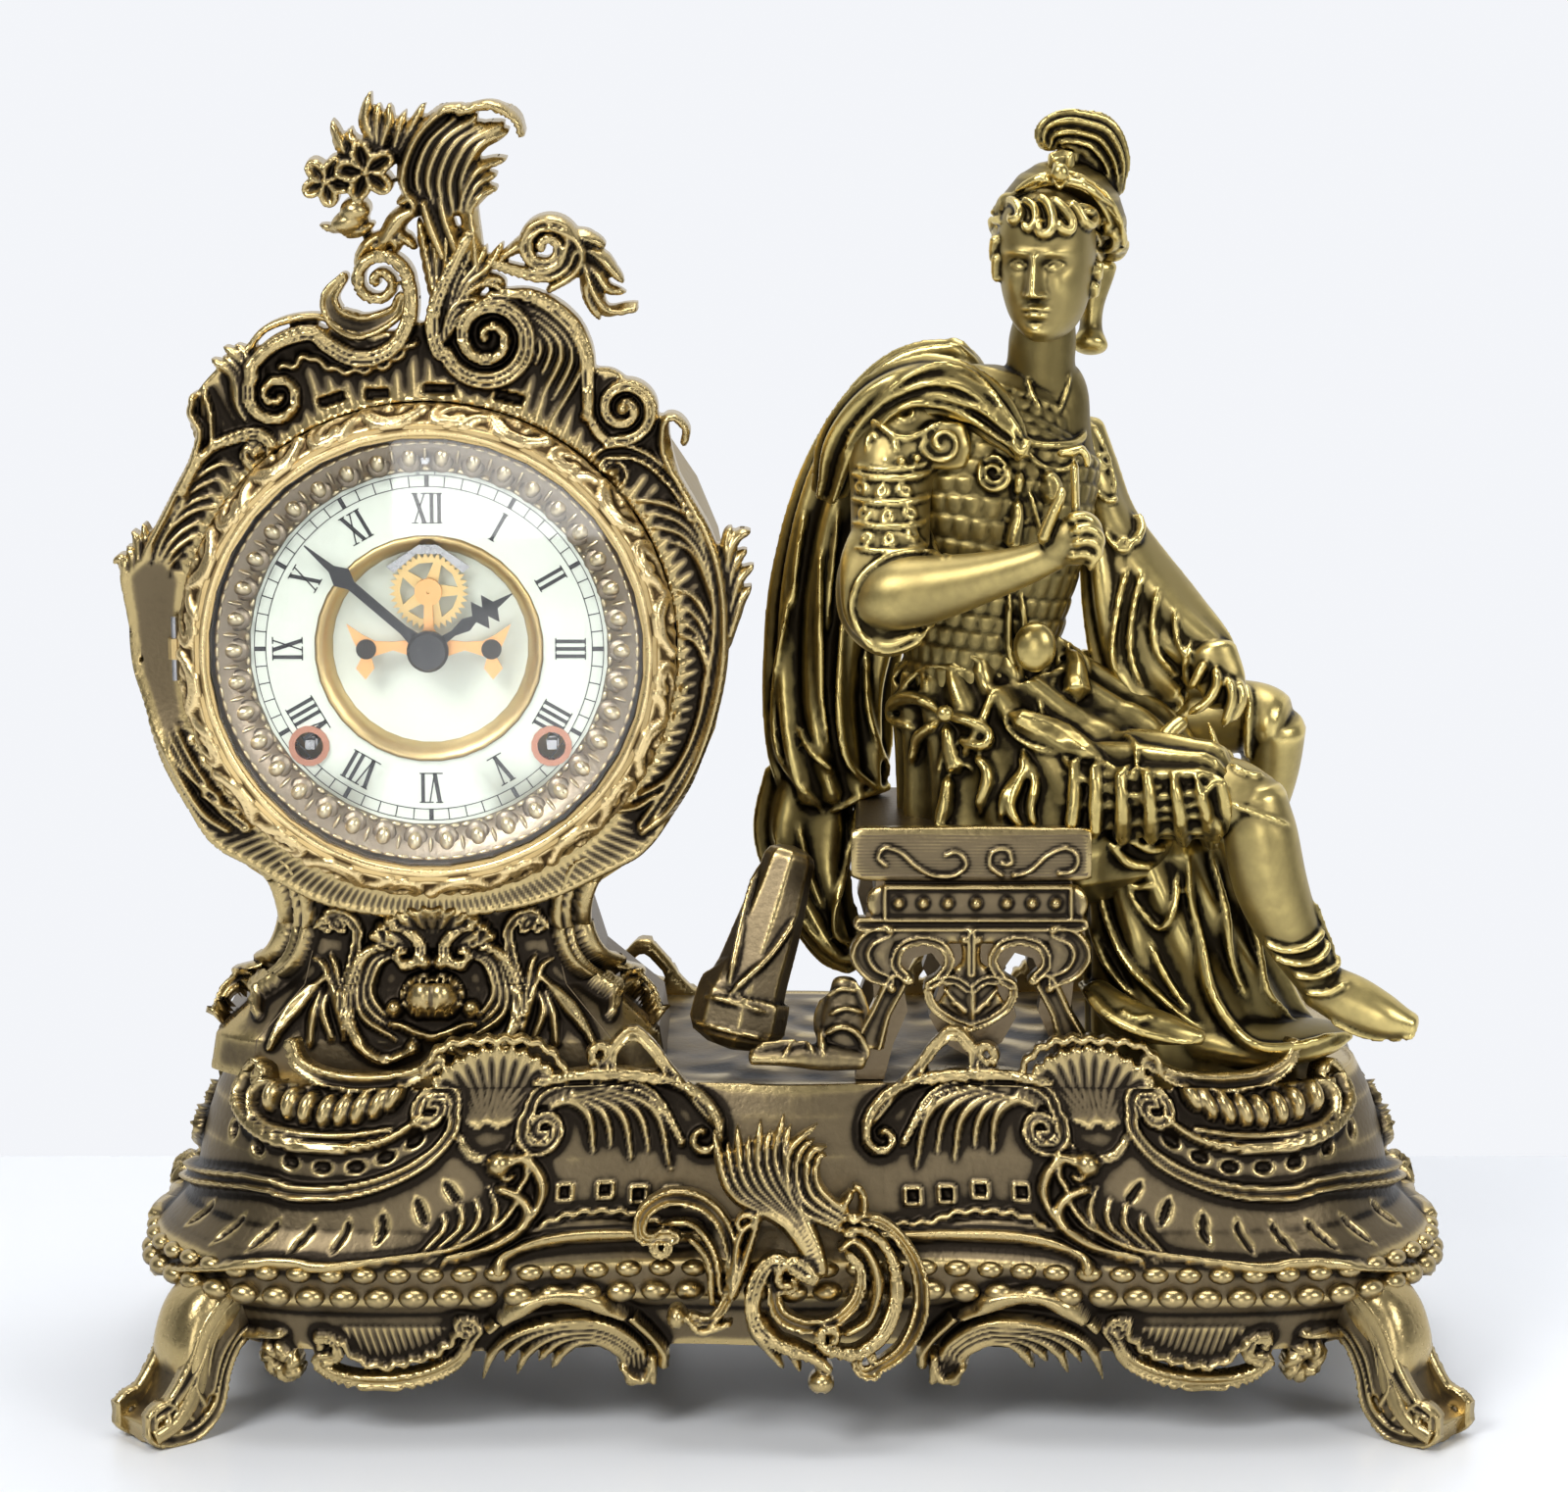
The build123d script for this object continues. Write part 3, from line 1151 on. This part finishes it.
flower_shares = [(-0.338, 1.572, 0.09), (-0.188, 1.617, 0.085), (-0.231, 1.445, 0.06)]
petals = 5
flower_thickness = 6
leaf_thickness = 4
leaf_shares = [                          # root, tip and half width
    (-0.2, 1.6, -0.17, 1.86, 0.04), (-0.25, 1.6, -0.31, 1.76, 0.04), (-0.15, 1.62, -0.02, 1.81, 0.035),
    (-0.22, 1.46, -0.38, 1.41, 0.03), (-0.2, 1.46, -0.25, 1.33, 0.04), (-0.2, 1.5, -0.02, 1.42, 0.06),
    (-0.3, 1.57, -0.1, 1.55, 0.05), (-0.2, 1.62, -0.22, 1.42, 0.05), (-0.15, 1.58, 0.02, 1.52, 0.06),
]
with BuildPart() as crest_flowers:
    flower_back = case_front_face - lap
    for u, w, size in flower_shares:
        points = []
        for petal in range(petals):
            for turn, reach in ((0, 0.6), (20, 1.0), (52, 1.0)):
                points.append(polar(case_radius * size * reach, petal * 360 / petals + turn))
        slab(points, flower_back, flower_back - flower_thickness, case_radius * u, case_radius * w)
    for root_u, root_w, tip_u, tip_w, half in leaf_shares:
        root, tip = (root_u, root_w), (tip_u, tip_w)
        lean = bearing(root, tip)
        spread_u, spread_w = polar(half, lean + 90)
        mid_u, mid_w = 0.6 * root_u + 0.4 * tip_u, 0.6 * root_w + 0.4 * tip_w
        slab(scaled([root, (mid_u - spread_u, mid_w - spread_w), tip, (mid_u + spread_u, mid_w + spread_w)],
                    case_radius), flower_back, flower_back - leaf_thickness)
    add(crest_scrolls.part, mode=Mode.SUBTRACT)
keep(crest_flowers, "crest_flowers")

side_leaf_back = -43
side_leaf_front = -48
left_leaf_shares = [(-0.88, 0.44), (-1.0, 0.48), (-1.04, 0.43), (-1.0, 0.38), (-1.04, 0.31), (-0.99, 0.22),
                    (-0.9, 0.12)]
right_leaf_shares = [(0.88, 0.4), (1.0, 0.44), (1.08, 0.4), (1.03, 0.33), (1.07, 0.24), (1.0, 0.18), (0.99,
                                                                                                      0.06),
                     (0.9, 0.04)]
with BuildPart() as side_leaves:
    for shares in (left_leaf_shares, right_leaf_shares):
        slab(scaled(shares, case_radius), side_leaf_back, side_leaf_front)
    add(case_front.part, mode=Mode.SUBTRACT)
keep(side_leaves, "side_leaves")

# Stool: seat slab and a pierced frame with a pendant
stool_x = 61
stool_front = -60
stool_back = 20
stool_half = 38
seat_thickness = 14
seat_lip = 1
frame_top = 189
panel = 9
seat_half_shares = [                     # of the seat's thickness, right side from the underside up
    (0, 0), (0.07, 0.21), (0.07, 0.79), (0, 1.0),
]
# Right half of a side, of half the stool's width, down from the frame
stool_shares = [
    (0.87, 0), (0.87, -0.34), (0.95, -0.34), (1.0, -0.58), (0.9, -0.92), (0.87, -1.24), (1.0, -1.6), (1.05,
                                                                                                      -1.87),
    (0.79, -1.87), (0.71, -1.55), (0.58, -1.24), (0.63, -0.97), (0.53, -0.76), (0.37, -0.71), (0.26, -0.87),
    (0.32, -1.08), (0.39, -1.29), (0.26, -1.53), (0, -1.68),
]
rail_share = 0.76
rail_width = 8
rail_height = 16


def stool_plane(y):
    """Upright plane at the stool, measured from the top of its frame."""
    return Plane(origin=(stool_x, y, frame_top), x_dir=(1, 0, 0), z_dir=(0, -1, 0))


def mirrored_outline(right):
    """Whole outline from its right half."""
    return right + [(-u, w) for u, w in reversed(right) if u]


with BuildPart() as stool_seat:
    with BuildSketch(stool_plane(stool_back + 2 * seat_lip)):
        with BuildLine():
            Polyline(*mirrored_outline([(stool_half + u, w) for u, w in scaled(seat_half_shares,
                                                                               seat_thickness)]),
                     close=True)
        make_face()
    extrude(amount=stool_back - stool_front + 4 * seat_lip)
keep(stool_seat, "stool_seat")

with BuildPart() as stool_frame:
    for y in (stool_front + panel, stool_back):
        with BuildSketch(stool_plane(y)) as outline:
            with BuildLine():
                Polyline(*mirrored_outline(scaled(stool_shares, stool_half)), close=True)
            make_face()
        extrude(outline.sketch, amount=panel)
    for side in (-1, 1):
        with Locations((stool_x + side * rail_share * stool_half, (stool_front + stool_back) / 2,
                        frame_top - rail_height / 2)):
            Box(rail_width, stool_back - stool_front, rail_height)
    add(base_mass.part, mode=Mode.SUBTRACT)
keep(stool_frame, "stool_frame")

# Figure, drawn in head lengths from the middle of the seat
head_length = 50
seat_x = 70
seat_y = -8
seat_top = 203
seat_place = (seat_x, seat_y, seat_top)
facets = 8


def limb(stations):
    """Faceted body through stations of (x, y, z, half width, half depth), all in head lengths."""
    places = [Vector(*[s + head_length * v for s, v in zip(seat_place, station)]) for station in stations]
    rings = []
    for index, station in enumerate(stations):
        ahead = places[min(index + 1, len(places) - 1)] - places[max(index - 1, 0)]
        section = Plane(origin=places[index], x_dir=Vector(-ahead.Z, 0, ahead.X), z_dir=ahead)
        corners = [polar(head_length, (corner + 0.5) * 360 / facets) for corner in range(facets)]
        rings.append([section.from_local_coords(Vector(u * station[3], w * station[4], 0)) for u,
                      w in corners])
    faceted(rings)


torso_shares = [(0.04, 0, 0.01, 0.7, 0.6), (0.04, -0.04, 0.38, 0.76, 0.62), (-0.04, -0.12, 1.18, 0.48, 0.4),
                (0.04, -0.08, 1.9, 0.66, 0.48), (0.08, 0, 2.46, 0.66, 0.4), (0.36, 0.06, 2.76, 0.32, 0.26),
                (0.42, 0.06, 3.2, 0.21, 0.22)]
head_shares = [(0.44, -0.02, 3.2, 0.16, 0.2), (0.43, 0, 3.4, 0.24, 0.27), (0.42, 0.03, 3.68, 0.29, 0.34),
               (0.42, 0.06, 3.98, 0.31, 0.36)]
helmet_shares = [(0.42, 0.07, 3.98, 0.36, 0.4), (0.42, 0.08, 4.12, 0.35, 0.38), (0.42, 0.09, 4.26, 0.25,
                                                                                 0.28),
                 (0.42, 0.09, 4.34, 0.1, 0.12)]
plume_shares = [(0.44, 0.12, 4.25, 0.09, 0.1), (0.42, 0.12, 4.5, 0.11, 0.12), (0.52, 0.12, 4.66, 0.14, 0.13),
                (0.7, 0.13, 4.62, 0.12, 0.12), (0.8, 0.14, 4.4, 0.09, 0.09), (0.8, 0.16, 4.2, 0.05, 0.05)]
near_arm_shares = [(-0.56, -0.16, 2.74, 0.24, 0.26), (-0.76, -0.3, 2.32, 0.36, 0.34),
                   (-0.84, -0.5, 1.94, 0.3, 0.28), (-0.88, -0.76, 1.48, 0.26, 0.26)]
near_forearm_shares = [(-0.98, -0.7, 1.5, 0.24, 0.24), (-0.4, -1.08, 1.6, 0.22, 0.2), (0.06, -1.28, 1.8,
                                                                                       0.14, 0.14),
                       (0.34, -1.34, 1.94, 0.18, 0.16)]
hilt_shares = [(0.36, -1.34, 1.9, 0.07, 0.07), (0.44, -1.34, 2.44, 0.04, 0.04)]
far_arm_shares = [(0.7, 0.1, 2.5, 0.26, 0.26), (0.96, -0.04, 2.04, 0.3, 0.28), (1.22, -0.28, 1.4, 0.28,
                                                                                0.26),
                  (1.36, -0.6, 1.12, 0.18, 0.16), (1.42, -0.8, 1.04, 0.14, 0.12)]
near_thigh_shares = [(0.3, -0.4, 0.34, 0.4, 0.4), (1.0, -0.86, 0.42, 0.34, 0.34), (1.56, -1.16, 0.44, 0.28,
                                                                                   0.26)]
near_shin_shares = [(1.5, -1.14, 0.6, 0.2, 0.22), (1.6, -1.16, 0.3, 0.26, 0.26), (1.78, -1.16, -0.14, 0.24,
                                                                                  0.24),
                    (2.0, -1.12, -0.72, 0.2, 0.2), (2.12, -1.08, -1.2, 0.18, 0.18)]
near_foot_shares = [(2.02, -1.06, -1.16, 0.16, 0.16), (2.4, -1.14, -1.28, 0.15, 0.15), (2.85, -1.2, -1.4,
                                                                                        0.07, 0.1)]
far_thigh_shares = [(0.4, 0.06, 0.4, 0.36, 0.36), (1.2, -0.3, 0.6, 0.32, 0.32), (1.94, -0.52, 0.74, 0.26,
                                                                                 0.26)]
far_shin_shares = [(1.92, -0.5, 0.92, 0.18, 0.2), (1.94, -0.42, 0.5, 0.24, 0.24), (1.8, -0.2, -0.4, 0.2,
                                                                                   0.2)]
skirt_shares = [(0.5, -0.3, 0.01, 1.06, 0.76), (0.44, -0.2, 0.4, 0.98, 0.74), (0.12, -0.08, 0.8, 0.66, 0.54)]
sash_shares = [(-0.5, -0.76, 0.04, 0.14, 0.1), (-0.48, -0.66, 0.6, 0.34, 0.24), (-0.44, -0.42, 1.2, 0.2,
                                                                                 0.16)]
drapery_shares = [(1.52, -0.46, -1.69, 0.86, 0.62), (1.36, -0.46, -0.7, 0.72, 0.56), (1.3, -0.42, 0.1, 0.5,
                                                                                      0.5)]
cloak_shares = [(-1.0, 0.24, -0.8, 0.4, 0.24), (-1.06, 0.3, 0, 0.66, 0.34), (-1.0, 0.42, 0.94, 0.84, 0.28),
                (-0.66, 0.38, 1.94, 0.9, 0.26), (-0.2, 0.3, 2.7, 0.7, 0.26)]

with BuildPart() as torso:
    limb(torso_shares)
    add(stool_seat.part, mode=Mode.SUBTRACT)
keep(torso, "figure_torso")

with BuildPart() as head:
    limb(head_shares)
    add(torso.part, mode=Mode.SUBTRACT)
keep(head, "figure_head")

with BuildPart() as helmet:
    limb(helmet_shares)
    limb(plume_shares)
    add(head.part, mode=Mode.SUBTRACT)
keep(helmet, "helmet_and_plume")

with BuildPart() as near_arm:
    limb(near_arm_shares)
    limb(near_forearm_shares)
    limb(hilt_shares)
    add(torso.part, mode=Mode.SUBTRACT)
keep(near_arm, "near_arm_with_hilt")

with BuildPart() as far_arm:
    limb(far_arm_shares)
    add(torso.part, mode=Mode.SUBTRACT)
keep(far_arm, "far_arm")

with BuildPart() as near_leg:
    limb(near_thigh_shares)
    limb(near_shin_shares)
    limb(near_foot_shares)
    for other in (torso, stool_seat, far_arm):
        add(other.part, mode=Mode.SUBTRACT)
keep(near_leg, "near_leg")

with BuildPart() as far_leg:
    limb(far_thigh_shares)
    limb(far_shin_shares)
    for other in (torso, stool_seat, far_arm, near_leg):
        add(other.part, mode=Mode.SUBTRACT)
keep(far_leg, "far_leg")

with BuildPart() as skirt:
    limb(skirt_shares)
    limb(sash_shares)
    for other in (torso, near_arm, far_arm, near_leg, far_leg, stool_seat):
        add(other.part, mode=Mode.SUBTRACT)
keep(skirt, "skirt_and_sash")

with BuildPart() as drapery:
    limb(drapery_shares)
    for other in (torso, near_leg, far_leg, skirt, stool_seat, stool_frame, base_mass):
        add(other.part, mode=Mode.SUBTRACT)
keep(drapery, "lower_drapery")

with BuildPart() as cloak:
    limb(cloak_shares)
    for other in (torso, near_arm, near_leg, skirt, stool_seat, stool_frame, base_mass):
        add(other.part, mode=Mode.SUBTRACT)
keep(cloak, "cloak")

# Trophies on the platform
quiver_shares = [(-1.83, -0.69, -1.69, 0.27, 0.27), (-1.72, -0.65, -1.34, 0.27, 0.27), (-1.71, -0.64, -1.3,
                                                                                        0.22, 0.22),
                 (-1.36, -0.52, -0.34, 0.14, 0.14)]
with BuildPart() as leaning_case:
    limb(quiver_shares)
    add(base_mass.part, mode=Mode.SUBTRACT)
    add(cloak.part, mode=Mode.SUBTRACT)
keep(leaning_case, "leaning_case")

gauntlet_x = 6
gauntlet_y = -64
gauntlet_size = 20
gauntlet_depth = 12
gauntlet_shares = [(-1, 0), (1, 0), (1, 1.4), (0.5, 1.4), (0.35, 0.5), (-0.6, 0.3), (-1, 0.15)]
with BuildPart() as gauntlet:
    with BuildSketch(Plane(origin=(gauntlet_x, gauntlet_y, platform_height), x_dir=(1, 0, 0), z_dir=(0, -1,
                                                                                                     0))):
        with BuildLine():
            Polyline(*scaled(gauntlet_shares, gauntlet_size), close=True)
        make_face()
    extrude(amount=gauntlet_depth)
keep(gauntlet, "gauntlet")

# Nuts under the platform that draw the pedestal down
nut_across = 5
nut_height = 4
nut_places_shares = (0.5, 0.26)         # of the case radius, from the middle of the pedestal
nut_u, nut_v = (case_radius * share for share in nut_places_shares)
with BuildPart() as fixings:
    for x in (clock_x - nut_u, clock_x + nut_u):
        for y in (pedestal_y - nut_v, pedestal_y + nut_v):
            with BuildSketch(Plane.XY.offset(platform_height - casting_wall)) as outline:
                with Locations((x, y)):
                    RegularPolygon(nut_across, 6)
            extrude(outline.sketch, amount=-nut_height)
keep(fixings, "base_fixing_nuts")
